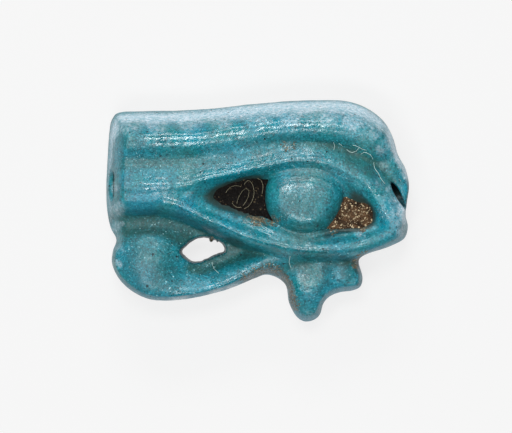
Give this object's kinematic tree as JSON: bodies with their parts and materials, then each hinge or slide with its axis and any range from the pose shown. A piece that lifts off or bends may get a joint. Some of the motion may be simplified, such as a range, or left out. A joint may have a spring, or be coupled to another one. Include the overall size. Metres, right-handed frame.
{
  "type": "wedjat eye amulet",
  "caption": "Small glazed faience wedjat eye amulet, pierced lengthwise for a string, with openwork between its bar and curl.",
  "frame": {"origin": "middle of the flat back face that the amulet lies on", "axes": "+X along the amulet's length towards the front corner of the eye, +Y towards the brow, +Z out of the carved face"},
  "size_m": [0.0202, 0.0148, 0.0056],
  "materials": {
    "glazed_faience": "glossy turquoise glaze over a sandy quartz body, with paler grazing edges and greenish sunk areas",
    "pupil_faience": "slightly greyer turquoise glaze with sparkling quartz grains",
    "rear_soil": "matt dark brown packed soil",
    "front_soil": "matt granular brown packed soil"
  },
  "bodies": {
    "root": {"faience_body": "glazed_faience", "pupil": "pupil_faience", "rear_corner_fill": "rear_soil", "front_corner_fill": "front_soil"}
  },
  "joints": []
}
